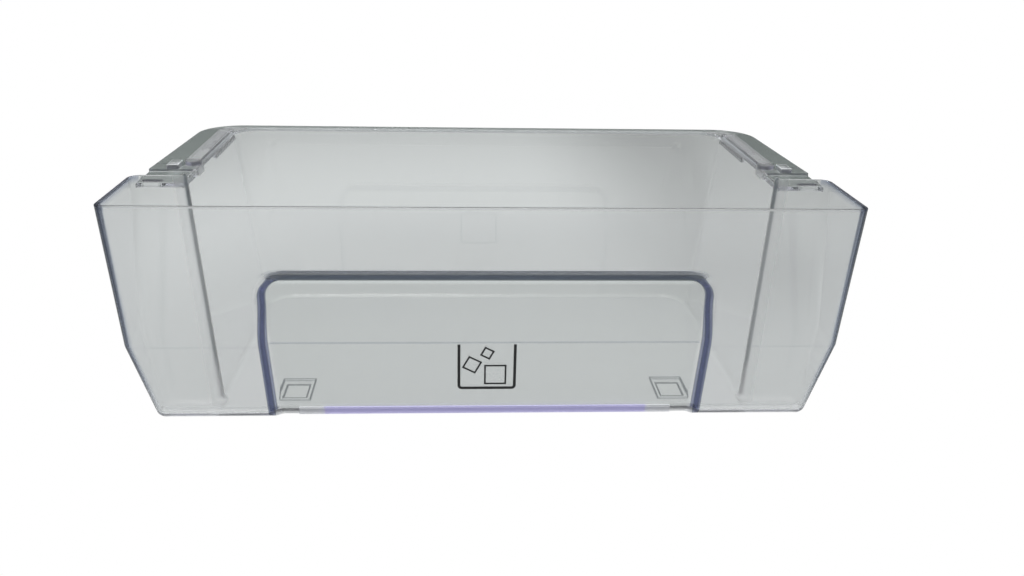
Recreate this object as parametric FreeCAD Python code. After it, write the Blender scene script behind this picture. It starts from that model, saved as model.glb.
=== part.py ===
import FreeCAD, Part
import math
import os

os.makedirs("parts", exist_ok=True)

Vector = FreeCAD.Vector

# All sizes are in millimetres. X runs across the drawer, Y from the front to the
# back and Z up. The origin lies on the ground under the middle of the drawer.

# Overall sizes
overall_width = 450.0
overall_depth = 245.0
overall_height = 140.0
wall = 2.5
floor_thickness = 3.0

# Front and side returns: the crease is the height where the walls bend inwards
crease_height = 50.0
front_lean_above_crease = 5.0
front_lean_below_crease = 4.0
wing_taper_above_crease = 5.5
wing_taper_below_crease = 14.5

# Shoulders: the walls that step in from the wide front part to the tub
shoulder_step = 32.0
shoulder_depth = 72.5
shoulder_lean = 42.5

# Tub behind the shoulders
tub_taper = 22.5
rear_taper = 20.0
rear_lip_width = 6.0

# Rounded corners of the plan
front_corner = 6.5
wing_rear_corner = 8.0
shoulder_inner_corner = 3.0
rear_corner = 22.0
bottom_edge_radius = 6.0

# Grip recess in the front: an arch that is open at the bottom
grip_side_margin = 87.0
grip_top_height = 97.0
grip_corner_radius = 17.0
grip_depth = 7.0
grip_side_slope = 0.8
grip_top_slope = 0.45
grip_inner_radius = 3.0
grip_mouth_radius = 1.5
grip_lip_height = 5.0
grip_lip_reach = 1.6
grip_lip_end_gap = 8.0
grip_lip_edge_radius = 0.5

# Shallow pockets in the floor behind the grip
pocket_x = 124.0
pocket_y_from_front = 46.0
pocket_width = 21.0
pocket_length = 30.0
pocket_bottom_width = 15.0
pocket_bottom_length = 19.0
pocket_floor = 1.2

# Runner flanges along the tub, with a raised bead, a lower ledge in front and a stop
flange_front_margin = 3.5
flange_rear_margin = 9.0
flange_drop = 3.0
flange_rear_radius = 30.0
ledge_drop = 5.0
ledge_length = 28.0
bead_width = 11.0
bead_start_gap = 6.0
bead_edge_radius = 1.2
bead_rear_corner = 2.4
stop_width = 8.0
stop_length = 14.0
stop_height = 3.0
stop_edge_radius = 1.0
stop_from_tub = 9.0
slot_length = 14.0
slot_width = 6.0
slot_side_margin = 2.0
slot_from_shoulder = 4.5
rib_count = 13
rib_pitch = 5.2
rib_thickness = 1.6
rib_root = 1.6
rib_reach = 7.0
rib_height = 4.5

# Printed ice mark on the lower part of the grip panel: an open tray and three cubes,
# each cube with its place across, its place below the crease, its side and its turn
mark_thickness = 0.12
mark_top_gap = 1.0
tray_line = 1.8
tray_width = 36.8
tray_height = 32.0
tray_corner_radius = 2.8
cube_line = 1.1
large_cube = (5.3, 22.5, 14.0, 0.0)
medium_cube = (-9.3, 15.4, 9.4, 28.0)
small_cube = (0.2, 7.2, 6.9, 28.0)

# Where one named part of the moulding ends and the next begins
front_return = 10.0
grip_return = 14.0
grip_border = 6.5
wall_return = 9.5
corner_return = 4.0
rear_return = 28.0
pocket_border = 6.0

# Reach of the cutting shapes beyond the drawer
beyond = 60.0

front_edge = -overall_depth / 2
half_width = overall_width / 2
tub_half = half_width - shoulder_step
rear_wall = overall_depth / 2 - rear_lip_width
grip_half = half_width - grip_side_margin
flange_front_half = half_width - flange_front_margin
flange_rear_half = half_width - flange_rear_margin
flange_top = overall_height - flange_drop
ledge_top = overall_height - ledge_drop


def front_y(z):
    # Outer face of the front wall at height z
    if z >= crease_height:
        share = (overall_height - z) / (overall_height - crease_height)
        return front_edge + front_lean_above_crease * share
    share = (crease_height - z) / crease_height
    return front_edge + front_lean_above_crease + front_lean_below_crease * share


def wing_x(z):
    # Outer face of the side return at height z
    if z >= crease_height:
        share = (overall_height - z) / (overall_height - crease_height)
        return half_width - wing_taper_above_crease * share
    share = (crease_height - z) / crease_height
    return half_width - wing_taper_above_crease - wing_taper_below_crease * share


def depth_share(z):
    # One at the ground, nought at the top edge
    return (overall_height - z) / overall_height


def shoulder_y(z):
    return front_edge + shoulder_depth - shoulder_lean * depth_share(z)


def tub_x(z):
    return tub_half - tub_taper * depth_share(z)


def rear_y(z):
    return rear_wall - rear_taper * depth_share(z)


def rounded_wire(corners, place):
    # Closed outline through flat corner points (u, v, radius), put in space by place
    count = len(corners)
    starts = []
    middles = []
    ends = []
    for i in range(count):
        u, v, radius = corners[i]
        before = corners[i - 1]
        after = corners[(i + 1) % count]
        here = Vector(u, v, 0)
        to_before = (Vector(before[0], before[1], 0) - here).normalize()
        to_after = (Vector(after[0], after[1], 0) - here).normalize()
        half_angle = to_before.getAngle(to_after) / 2
        reach = radius / math.tan(half_angle)
        inward = (to_before + to_after).normalize()
        centre = here + inward * (radius / math.sin(half_angle))
        starts.append(here + to_before * reach)
        middles.append(centre - inward * radius)
        ends.append(here + to_after * reach)
    edges = []
    for i in range(count):
        if corners[i][2] > 0:
            arc = Part.Arc(place(starts[i]), place(middles[i]), place(ends[i]))
            edges.append(arc.toShape())
        following = (i + 1) % count
        if (ends[i] - starts[following]).Length > 0.001:
            edges.append(Part.makeLine(place(ends[i]), place(starts[following])))
    return Part.Wire(edges)


def plan_wire(z, inset):
    # Plan outline of the drawer walls at height z, moved inwards by inset
    wing = wing_x(z) - inset
    front = front_y(z) + inset
    shoulder = shoulder_y(z) - inset
    tub = tub_x(z) - inset
    rear = rear_y(z) - inset
    front_radius = front_corner - inset
    wing_radius = wing_rear_corner - inset
    inner_radius = shoulder_inner_corner + inset
    rear_radius = rear_corner - inset
    corners = [
        (-wing, front, front_radius),
        (wing, front, front_radius),
        (wing, shoulder, wing_radius),
        (tub, shoulder, inner_radius),
        (tub, rear, rear_radius),
        (-tub, rear, rear_radius),
        (-tub, shoulder, inner_radius),
        (-wing, shoulder, wing_radius),
    ]
    return rounded_wire(corners, lambda p: Vector(p.x, p.y, z))


def edges_at_height(solid, z):
    found = []
    for edge in solid.Edges:
        box = edge.BoundBox
        if abs(box.ZMin - z) < 0.001 and abs(box.ZMax - z) < 0.001:
            found.append(edge)
    return found


def ruled_body(wires):
    # Solid through matching outlines: flat faces between lines, ruled ones between arcs
    faces = [Part.Face(wires[0]), Part.Face(wires[-1])]
    for lower, upper in zip(wires, wires[1:]):
        for low_edge, high_edge in zip(lower.Edges, upper.Edges):
            if low_edge.Curve.TypeId == "Part::GeomLine":
                ends = [vertex.Point for vertex in low_edge.Vertexes]
                ends += [vertex.Point for vertex in reversed(high_edge.Vertexes)]
                faces.append(Part.Face(Part.makePolygon(ends + ends[:1])))
            else:
                faces.append(Part.makeRuledSurface(low_edge, high_edge))
    return Part.Solid(Part.Shell(faces)).removeSplitter()


def plan_body(inset, bottom, top, edge_radius):
    # Solid between the plan outlines at bottom, crease and top, rounded at its bottom
    body = ruled_body([plan_wire(z, inset) for z in (bottom, crease_height, top)])
    return body.makeFillet(edge_radius, edges_at_height(body, bottom))


def profile_prism(profile, half_length):
    # Prism along X from a closed outline of (y, z) points
    points = [Vector(-half_length, y, z) for y, z in profile]
    face = Part.Face(Part.makePolygon(points + points[:1]))
    return face.extrude(Vector(2 * half_length, 0, 0))


def behind_front(distance):
    # Everything further back than the front face moved back by distance
    back = overall_depth + beyond
    profile = [
        (front_y(overall_height + beyond) + distance, overall_height + beyond),
        (front_y(crease_height) + distance, crease_height),
        (front_y(-beyond) + distance, -beyond),
        (back, -beyond),
        (back, overall_height + beyond),
    ]
    return profile_prism(profile, half_width + beyond)


def grip_wire(grow, y):
    # Arch outline across the drawer, narrowing towards the back. Its sloping sides
    # are moved outwards by grow, measured square to them
    reference = front_edge + front_lean_above_crease
    grow_side = grow * math.hypot(1, grip_side_slope)
    grow_top = grow * math.hypot(1, grip_top_slope)
    half = grip_half + grow_side - grip_side_slope * (y - reference)
    top = grip_top_height + grow_top - grip_top_slope * (y - reference)
    radius = grip_corner_radius + (grow_side + grow_top) / 2
    corners = [
        (-half, -beyond, 0),
        (half, -beyond, 0),
        (half, top, radius),
        (-half, top, radius),
    ]
    return rounded_wire(corners, lambda p: Vector(p.x, y, p.y))


def grip_space(grow):
    # Space of the grip recess, grown by grow on its sides, top and back
    near = grip_wire(grow, front_edge - grip_depth)
    far = grip_wire(grow, front_edge + 2 * grip_return)
    return Part.makeLoft([near, far], True, True).cut(behind_front(grip_depth + grow))


def mirrored(shape):
    return shape.mirror(Vector(0, 0, 0), Vector(1, 0, 0))


def edges_on_front(solid, distance):
    # Edges of the grip recess that lie on the front face moved back by distance,
    # without the crease line and without the cut-off at the very bottom
    found = []
    for edge in solid.Edges:
        box = edge.BoundBox
        middle = edge.valueAt((edge.FirstParameter + edge.LastParameter) / 2)
        points = [vertex.Point for vertex in edge.Vertexes] + [middle]
        on_face = all(abs(p.y - front_y(p.z) - distance) < 0.02 for p in points)
        in_arch = box.ZMax < grip_top_height + grip_corner_radius
        in_arch = in_arch and abs(box.Center.x) < grip_half + grip_corner_radius
        crease = max(abs(box.ZMin - crease_height), abs(box.ZMax - crease_height)) < 0.01
        flat_end = box.ZMax - box.ZMin < 0.01 and box.ZMax < floor_thickness + 0.01
        if on_face and in_arch and not crease and not flat_end:
            found.append(edge)
    return found


def moulded_walls():
    # The whole wall shell: outer form less inner form, both with the grip recess
    outer = plan_body(0, 0, overall_height, bottom_edge_radius)
    top = overall_height + wall
    inner = plan_body(wall, floor_thickness, top, bottom_edge_radius - wall)
    recess = grip_space(0)
    recess = recess.makeFillet(grip_inner_radius, edges_on_front(recess, grip_depth))
    grown = grip_space(wall)
    grown_edges = edges_on_front(grown, grip_depth + wall)
    grown = grown.makeFillet(grip_inner_radius + wall, grown_edges)
    outer = outer.cut(recess)
    outer = outer.makeFillet(grip_mouth_radius + wall, edges_on_front(outer, 0))
    inner = inner.cut(grown)
    inner = inner.makeFillet(grip_mouth_radius, edges_on_front(inner, wall))
    return outer, inner


def box_between(low, high):
    size = [high[i] - low[i] for i in range(3)]
    return Part.makeBox(size[0], size[1], size[2], Vector(low[0], low[1], low[2]))


def side_zone(across, inset):
    # Everything on the right beyond the sloping plane across(z), moved in by inset
    far = half_width + beyond
    profile = [
        (across(-beyond) - inset, -beyond),
        (far, -beyond),
        (far, overall_height + beyond),
        (across(overall_height + beyond) - inset, overall_height + beyond),
        (across(crease_height) - inset, crease_height),
    ]
    points = [Vector(x, -overall_depth, z) for x, z in profile]
    face = Part.Face(Part.makePolygon(points + points[:1]))
    return face.extrude(Vector(0, 2 * overall_depth, 0))


def zone_behind(depth_at, offset):
    # Everything further back than the sloping plane depth_at(z), moved by offset
    back = overall_depth + beyond
    profile = [
        (depth_at(-beyond) + offset, -beyond),
        (back, -beyond),
        (back, overall_height + beyond),
        (depth_at(overall_height + beyond) + offset, overall_height + beyond),
    ]
    return profile_prism(profile, half_width + beyond)


def grip_zone():
    # Arch around the grip recess, a little wider than its rounded mouth
    near = grip_wire(grip_border, front_edge + front_lean_above_crease)
    arch = Part.Face(near).extrude(Vector(0, 2 * grip_return, 0))
    ahead = Part.Face(near).extrude(Vector(0, -2 * grip_return, 0))
    return arch.fuse(ahead).cut(behind_front(grip_return))


def floor_zone():
    # Flat middle of the floor, inside the rounded bottom edges of the walls
    half = tub_x(0) - wall_return
    rear = rear_y(0) - wall_return
    radius = rear_corner - wall_return
    corners = [
        (-half, front_edge, 0),
        (half, front_edge, 0),
        (half, rear, radius),
        (-half, rear, radius),
    ]
    outline = rounded_wire(corners, lambda p: Vector(p.x, p.y, -wall))
    return Part.Face(outline).extrude(Vector(0, 0, floor_thickness + 2 * wall))


def floor_pocket():
    # Shallow rectangular pocket, wide at the top and narrower at its bottom
    y = front_edge + pocket_y_from_front
    above = floor_thickness - pocket_floor
    slope_x = (pocket_width - pocket_bottom_width) / 2 / above
    slope_y = (pocket_length - pocket_bottom_length) / 2 / above
    wires = []
    for height in (0, above + 1):
        half_x = pocket_bottom_width / 2 + slope_x * height
        half_y = pocket_bottom_length / 2 + slope_y * height
        z = pocket_floor + height
        points = [
            Vector(pocket_x - half_x, y - half_y, z),
            Vector(pocket_x + half_x, y - half_y, z),
            Vector(pocket_x + half_x, y + half_y, z),
            Vector(pocket_x - half_x, y + half_y, z),
        ]
        wires.append(Part.makePolygon(points + points[:1]))
    return Part.makeLoft(wires, True, True)


def pocket_zone():
    y = front_edge + pocket_y_from_front
    half_x = pocket_width / 2 + pocket_border
    half_y = pocket_length / 2 + pocket_border
    low = (pocket_x - half_x, y - half_y, -wall)
    high = (pocket_x + half_x, y + half_y, floor_thickness + wall)
    return box_between(low, high)


def grip_lip():
    # Low bar along the foot of the grip panel, for the fingertips
    def panel_y(z):
        return front_y(z) + grip_depth

    profile = [
        (panel_y(0), 0),
        (panel_y(grip_lip_height), grip_lip_height),
        (panel_y(grip_lip_height) - grip_lip_reach, grip_lip_height),
        (panel_y(0) - grip_lip_reach, 0),
    ]
    reference = front_edge + front_lean_above_crease
    half = grip_half - grip_side_slope * (panel_y(0) - reference)
    half = half - grip_inner_radius - grip_lip_end_gap
    bar = profile_prism(profile, half)
    front_edges = []
    for edge in bar.Edges:
        if edge.BoundBox.YMax < panel_y(0) - grip_lip_reach / 2 and edge.Length > half:
            front_edges.append(edge)
    return bar.makeFillet(grip_lip_edge_radius, front_edges)


def rim_plate(top):
    # Flat plate around the back of the tub, from the tub wall out to the rim edge
    start = front_edge + shoulder_depth + ledge_length + wall
    corners = [
        (-flange_front_half, start, 0),
        (flange_front_half, start, 0),
        (flange_rear_half, overall_depth / 2, flange_rear_radius),
        (-flange_rear_half, overall_depth / 2, flange_rear_radius),
    ]
    outline = rounded_wire(corners, lambda p: Vector(p.x, p.y, top - wall))
    return Part.Face(outline).extrude(Vector(0, 0, wall))


def ledge():
    # Lower plate between shoulder and flange, with a riser at its back and a slot
    start = front_edge + shoulder_depth - wall
    end = front_edge + shoulder_depth + ledge_length
    inner_x = tub_x(ledge_top) - 2 * wall
    low = (inner_x, start, ledge_top - wall)
    plate = box_between(low, (flange_front_half, end, ledge_top))
    riser_low = (inner_x, end, ledge_top - wall)
    riser = box_between(riser_low, (flange_front_half, end + wall, flange_top))
    half_length = slot_length / 2
    slot_x = flange_front_half - slot_side_margin - half_length
    slot_y = front_edge + shoulder_depth + slot_from_shoulder
    radius = slot_width / 2
    corners = [
        (slot_x - half_length, slot_y - radius, radius),
        (slot_x + half_length, slot_y - radius, radius),
        (slot_x + half_length, slot_y + radius, radius),
        (slot_x - half_length, slot_y + radius, radius),
    ]
    outline = rounded_wire(corners, lambda p: Vector(p.x, p.y, ledge_top - 2 * wall))
    slot = Part.Face(outline).extrude(Vector(0, 0, 3 * wall))
    return plate.fuse(riser).removeSplitter().cut(slot)


def stop_block():
    # Low block on the front end of the flange, flush with the riser of the ledge
    start = front_edge + shoulder_depth + ledge_length
    x = tub_half + stop_from_tub
    low = (x, start, flange_top)
    high = (x + stop_width, start + stop_length, flange_top + stop_height)
    block = box_between(low, high)
    return block.makeFillet(stop_edge_radius, edges_at_height(block, high[2]))


def bead():
    # Raised bead over the top of the tub wall, with a rounded front end
    inner_x = tub_x(flange_top) - wall
    start = front_edge + shoulder_depth + ledge_length + wall + bead_start_gap
    end = rear_wall - rear_corner
    end_radius = bead_width / 2
    corners = [
        (inner_x, start, end_radius),
        (inner_x + bead_width, start, end_radius),
        (inner_x + bead_width, end, bead_rear_corner),
        (inner_x, end, bead_rear_corner),
    ]
    outline = rounded_wire(corners, lambda p: Vector(p.x, p.y, flange_top))
    body = Part.Face(outline).extrude(Vector(0, 0, flange_drop))
    return body.makeFillet(bead_edge_radius, edges_at_height(body, overall_height))


def rib_place():
    # Where the rib row starts and ends, and the tub wall that it stands on
    last = rear_wall - rear_corner
    first = last - rib_pitch * (rib_count - 1) - rib_thickness
    return first, last, tub_x(flange_top - wall)


def rib_strip():
    # Strip of the flange over the ribs, which is made as one with them
    first, last, wall_x = rib_place()
    low = (wall_x - wall, first, flange_top - wall)
    return box_between(low, (wall_x + rib_reach, last, flange_top))


def ribs():
    # Row of small ribs under the flange on one upright strip
    top = flange_top - wall
    first, last, wall_x = rib_place()
    low = (wall_x - wall, first, top - rib_height)
    comb = rib_strip().fuse(box_between(low, (wall_x + rib_root, last, top)))
    for number in range(rib_count):
        y = first + number * rib_pitch
        points = [
            Vector(wall_x - wall, y, top),
            Vector(wall_x + rib_reach, y, top),
            Vector(wall_x + rib_reach, y, top - rib_root),
            Vector(wall_x - wall, y, top - rib_height),
        ]
        face = Part.Face(Part.makePolygon(points + points[:1]))
        comb = comb.fuse(face.extrude(Vector(0, rib_thickness, 0)))
    return comb.removeSplitter()


def on_mark_plane(lift):
    # Places flat points on the lower grip panel, u across and v down from the crease
    top_y = front_y(crease_height) + grip_depth
    down = Vector(0, front_lean_below_crease, -crease_height).normalize()
    outward = Vector(0, -crease_height, -front_lean_below_crease).normalize()
    origin = Vector(0, top_y, crease_height) + outward * lift
    return lambda p: origin + Vector(p.x, 0, 0) + down * p.y, outward


def mark_solid(outer_corners, holes):
    place, outward = on_mark_plane(0)
    face = Part.Face(rounded_wire(outer_corners, place))
    for hole in holes:
        face = face.cut(Part.Face(rounded_wire(hole, place)))
    return face.extrude(outward * mark_thickness)


def tray_mark():
    half = tray_width / 2
    inner = half - tray_line
    top = mark_top_gap
    bottom = top + tray_height
    inner_radius = tray_corner_radius - tray_line
    corners = [
        (-half, top, 0),
        (-half, bottom, tray_corner_radius),
        (half, bottom, tray_corner_radius),
        (half, top, 0),
        (inner, top, 0),
        (inner, bottom - tray_line, inner_radius),
        (-inner, bottom - tray_line, inner_radius),
        (-inner, top, 0),
    ]
    return mark_solid(corners, [])


def square_corners(cube, side):
    turn = math.radians(cube[3])
    corners = []
    for u, v in ((-0.5, -0.5), (0.5, -0.5), (0.5, 0.5), (-0.5, 0.5)):
        across = cube[0] + side * (u * math.cos(turn) - v * math.sin(turn))
        down = cube[1] + side * (u * math.sin(turn) + v * math.cos(turn))
        corners.append((across, down, 0))
    return corners


def cube_mark(cube):
    hole = square_corners(cube, cube[2] - 2 * cube_line)
    return mark_solid(square_corners(cube, cube[2]), [hole])


def export(name, shape):
    solids = shape.Solids
    shape = solids[0] if len(solids) == 1 else shape
    shape.exportStep("parts/" + name + ".step")


def as_drawn(shape):
    return shape


def take(body, zone):
    # Splits body into the part inside the zone and the part outside it
    return body.common(zone), body.cut(zone)


outer, inner = moulded_walls()
rest = outer.cut(inner)

# Tub walls end lower than the front, the returns and the shoulders
rim_start = shoulder_y(overall_height) + corner_return
low_rim = box_between(
    (-overall_width, rim_start, flange_top),
    (overall_width, overall_depth, overall_height + wall),
)
rest = rest.cut(low_rim)

pocket = floor_pocket()
rest = rest.cut(pocket).cut(mirrored(pocket))

grip, rest = take(rest, grip_zone())
export("grip_recess", grip)
export("grip_lip", grip_lip())

behind = behind_front(front_return)
export("front_panel", rest.cut(behind))
rest = rest.common(behind)

right_pocket, rest = take(rest, pocket_zone())
left_pocket, rest = take(rest, mirrored(pocket_zone()))
export("right_floor_pocket", right_pocket)
export("left_floor_pocket", left_pocket)

floor, rest = take(rest, floor_zone())
export("floor", floor)

rear, rest = take(rest, zone_behind(rear_y, -rear_return))
export("rear_wall", rear)

wing_zone = side_zone(wing_x, front_return)
tub_zone = zone_behind(shoulder_y, corner_return)
right_half = side_zone(lambda z: 0.0, 0.0)
rib_row = ribs().cut(outer)
plate = rim_plate(flange_top).cut(outer)
plate = plate.cut(rib_strip()).cut(mirrored(rib_strip()))
rear_lip_half = tub_half - rear_corner
middle = box_between(
    (-rear_lip_half, -overall_depth, 0),
    (rear_lip_half, overall_depth, overall_height),
)
export("rear_lip", plate.common(middle))
plate = plate.cut(middle)

for side, turned in (("right", as_drawn), ("left", mirrored)):
    half_body = rest.common(turned(right_half))
    wing, half_body = take(half_body, turned(wing_zone))
    tub_wall, shoulder = take(half_body, tub_zone)
    export(side + "_wing", wing)
    export(side + "_shoulder", shoulder)
    export(side + "_tub_wall", tub_wall)
    export(side + "_flange", plate.common(turned(right_half)))
    export(side + "_ledge", turned(ledge().cut(outer)))
    export(side + "_stop_block", turned(stop_block()))
    export(side + "_bead", turned(bead()))
    export(side + "_rib_row", turned(rib_row))

export("ice_mark_tray", tray_mark())
export("ice_mark_cube_large", cube_mark(large_cube))
export("ice_mark_cube_medium", cube_mark(medium_cube))
export("ice_mark_cube_small", cube_mark(small_cube))
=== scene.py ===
import math
import bpy
import numpy as np
from mathutils import Matrix, Vector


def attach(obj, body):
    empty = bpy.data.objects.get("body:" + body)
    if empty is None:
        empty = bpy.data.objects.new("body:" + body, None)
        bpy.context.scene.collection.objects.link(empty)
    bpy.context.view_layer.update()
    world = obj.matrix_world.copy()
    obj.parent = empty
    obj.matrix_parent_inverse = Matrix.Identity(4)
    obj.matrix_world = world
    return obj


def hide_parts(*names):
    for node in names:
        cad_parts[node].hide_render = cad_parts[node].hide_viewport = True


print("loading the frame")
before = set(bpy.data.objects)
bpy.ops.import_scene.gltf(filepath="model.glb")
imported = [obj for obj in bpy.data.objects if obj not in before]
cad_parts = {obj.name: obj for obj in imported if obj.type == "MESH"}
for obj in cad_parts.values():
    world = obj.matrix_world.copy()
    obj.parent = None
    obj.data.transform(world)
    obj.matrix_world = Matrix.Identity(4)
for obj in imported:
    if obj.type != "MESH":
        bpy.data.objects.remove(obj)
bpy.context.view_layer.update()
scene = bpy.context.scene

# Lengths below are in millimetres, apart from floorSize, floorDrop, rippleHeight, clip
# and the soft box, which are in metres
toMetres = 0.001


def makeMesh(name, points, faces):
    # points in millimetres, faces as lists of point numbers
    mesh = bpy.data.meshes.new(name)
    mesh.from_pydata((np.asarray(points) * toMetres).tolist(), [], faces)
    mesh.validate()
    mesh.update()
    return mesh


def makeObject(name, data):
    made = bpy.data.objects.new(name, data)
    scene.collection.objects.link(made)
    return made


def quadsOfRings(rowCount, columnCount):
    # one quad between each pair of neighbouring rings and neighbouring points on them
    r, c = np.meshgrid(np.arange(rowCount - 1), np.arange(columnCount), indexing="ij")
    after = (c + 1) % columnCount
    corners = (r * columnCount + c, r * columnCount + after,
               (r + 1) * columnCount + after, (r + 1) * columnCount + c)
    return np.stack(corners, axis=-1).reshape(-1, 4).tolist()


def ringSolid(name, rings):
    # closed solid through closed rings that run anticlockwise seen from above,
    # each ring joined to the next by quads, with a flat cap on the first and the last
    rowCount, columnCount = rings.shape[:2]
    faces = quadsOfRings(rowCount, columnCount)
    first = list(range(columnCount))
    faces.append(first[::-1])
    faces.append([(rowCount - 1) * columnCount + i for i in first])
    return makeObject(name, makeMesh(name, rings.reshape(-1, 3), faces))


# The moulding: its walls in plan, its flange and beads, and the grip's recess. The skin
# gap keeps the outer faces just inside the CAD box.
walls = {
    "halfWidth": 225.0, "halfDepth": 122.5, "height": 140.0, "thickness": 2.5,
    "floor": 3.0, "crease": 50.0,
    "frontLeanHigh": 5.0, "frontLeanLow": 4.0, "wingTaperHigh": 5.5, "wingTaperLow": 14.5,
    "shoulderStep": 32.0, "shoulderDepth": 72.5, "shoulderLean": 42.5,
    "tubTaper": 22.5, "rearTaper": 20.0, "rearLip": 6.0,
    "frontCorner": 6.5, "wingCorner": 8.0, "innerCorner": 3.0, "rearCorner": 22.0,
    "bottomRadius": 6.0, "rimRadius": 0.6, "skinGap": 0.03,
    "rampStart": -46.2, "rampEnd": -44.6, "lowRim": 137.0, "smoothAngle": 32.0,
}
flange = {
    "frontHalf": 221.47, "rearHalf": 216.0, "front": -19.4, "rear": 122.5, "radius": 30.0,
    "thickness": 2.5, "edgeRadius": 0.7,
}
bead = {
    "inner": 190.06, "width": 10.94, "front": -13.5, "rear": 94.5, "low": 136.0,
    "top": 140.0, "edgeRadius": 1.2, "rearRadius": 2.4,
}
grip = {
    "half": 138.0, "top": 97.0, "corner": 17.0, "depth": 7.0,
    "sideSlope": 0.8, "topSlope": 0.45, "slopeFloor": 0.5, "innerRadius": 3.0,
    "mouthRadius": 1.5,
}
# steps of the rim, as drops below its top and ways inwards from its edges
rim = {
    "drops": (2.9, 2.52, 2.46, 2.4), "dropStep": 0.05, "underStep": 0.8, "flat": 1.0,
    "topWays": (0.3, 0.5), "beadEdge": 0.04, "innerDrop": 1.6, "tubFrom": 150.0,
}
# how finely the runs and arcs are divided, and places of extra columns along the tub
divisions = {
    "side": 8, "wing": 4, "rear": 12, "outside": 5, "middle": 10, "ramp": 7, "bead": 7,
    "frontCorner": 12, "wingCorner": 12, "innerCorner": 9, "rearCorner": 22,
    "bottomArc": 10, "edgeArc": 6, "beforeFlange": (-38.0, -28.0), "behindFlange": -14.0,
    "flangePair": (-0.002, 0.0, 0.005), "beadSpan": (2.0, 90.0), "beadEnd": 93.4,
    "beadStep": 1.0,
}
leanSpan = 10.0  # height over which the lean of a wall is taken
support = 0.6  # height of the row that holds the bottom arc
near = 0.01  # columns closer than this count as one place


def shareOf(z):
    # share of the height above z, by which the shoulders, tub sides and rear lean in
    return (walls["height"] - z) / walls["height"]


def leanAt(z, high, low):
    # how far a face has come in at height z: by high down to the crease, by low below
    w = walls
    above = high * (w["height"] - z) / (w["height"] - w["crease"])
    below = high + low * (w["crease"] - z) / w["crease"]
    return np.where(z >= w["crease"], above, below)


def frontAt(z):
    return -walls["halfDepth"] + leanAt(z, walls["frontLeanHigh"], walls["frontLeanLow"])


def wingAt(z):
    return walls["halfWidth"] - leanAt(z, walls["wingTaperHigh"], walls["wingTaperLow"])


def shoulderAt(z):
    return -walls["halfDepth"] + walls["shoulderDepth"] - walls["shoulderLean"] * shareOf(z)


def tubAt(z):
    return walls["halfWidth"] - walls["shoulderStep"] - walls["tubTaper"] * shareOf(z)


def rearAt(z):
    return walls["halfDepth"] - walls["rearLip"] - walls["rearTaper"] * shareOf(z)


def archHalf(z):
    # half width of the grip arch where it meets the front face at height z
    lean = frontAt(z) + walls["halfDepth"] - walls["frontLeanHigh"]
    return grip["half"] - grip["sideSlope"] * lean


def sharesWithin(count):
    # even shares of a run, without its two ends
    return np.linspace(0, 1, count)[1:-1]


# columns along the straight runs of the path, as shares of each run
sideRun = sharesWithin(divisions["side"])[::2]
wingRun = sharesWithin(divisions["wing"])
rearRun = sharesWithin(divisions["rear"])
tubTopStart = shoulderAt(walls["height"]) + walls["innerCorner"]
tubTopEnd = rearAt(walls["height"]) - walls["rearCorner"]
tubLowStart = shoulderAt(walls["lowRim"]) + walls["innerCorner"]
tubLowEnd = rearAt(walls["lowRim"]) - walls["rearCorner"]


def tubShares():
    # Columns of the tub side as shares of its length: close ones where the rim steps
    # down, one pair at the front of the flange, and at the ends of the bead
    d = divisions
    ramp = np.linspace(walls["rampStart"], walls["rampEnd"], d["ramp"])
    first = (flange["front"] - tubLowStart) / (tubLowEnd - tubLowStart)
    beadFront = bead["front"] + bead["width"] / 2
    behind = np.concatenate([[d["behindFlange"], beadFront - d["beadStep"], beadFront],
                             np.linspace(*d["beadSpan"], d["bead"]), [d["beadEnd"]]])
    length = tubTopEnd - tubTopStart
    before = (np.concatenate([ramp, d["beforeFlange"]]) - tubTopStart) / length
    after = (behind - tubTopStart) / length
    pair = first + np.array(d["flangePair"])
    return np.concatenate([before, pair, after]), len(before) + 1


sideColumns, flangeColumn = tubShares()


# columns of the front, as distances outwards from the edge of the grip arch
archColumns = np.concatenate([
    [16, 11, 7.5, 5.5], np.arange(4.4, -29.5, -0.75), [-31, -34]])
outsideRun, middleRun = sharesWithin(divisions["outside"]), sharesWithin(divisions["middle"])
frontCount = 2 * (len(outsideRun) + len(archColumns)) + len(middleRun)


def frontColumns(z, endX):
    # x of each front column at height z: a few by the corners, close ones by the arch
    edge = archHalf(z)
    outerX = -(endX + (edge + archColumns[0] - endX) * outsideRun[:, None])
    leftX = -(edge + archColumns[:, None])
    innerEnd = edge + archColumns[-1]
    middleX = -innerEnd * (1 - 2 * middleRun[:, None])
    left = np.concatenate([outerX, leftX])
    return np.concatenate([left, middleX, -left[::-1]])


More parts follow.
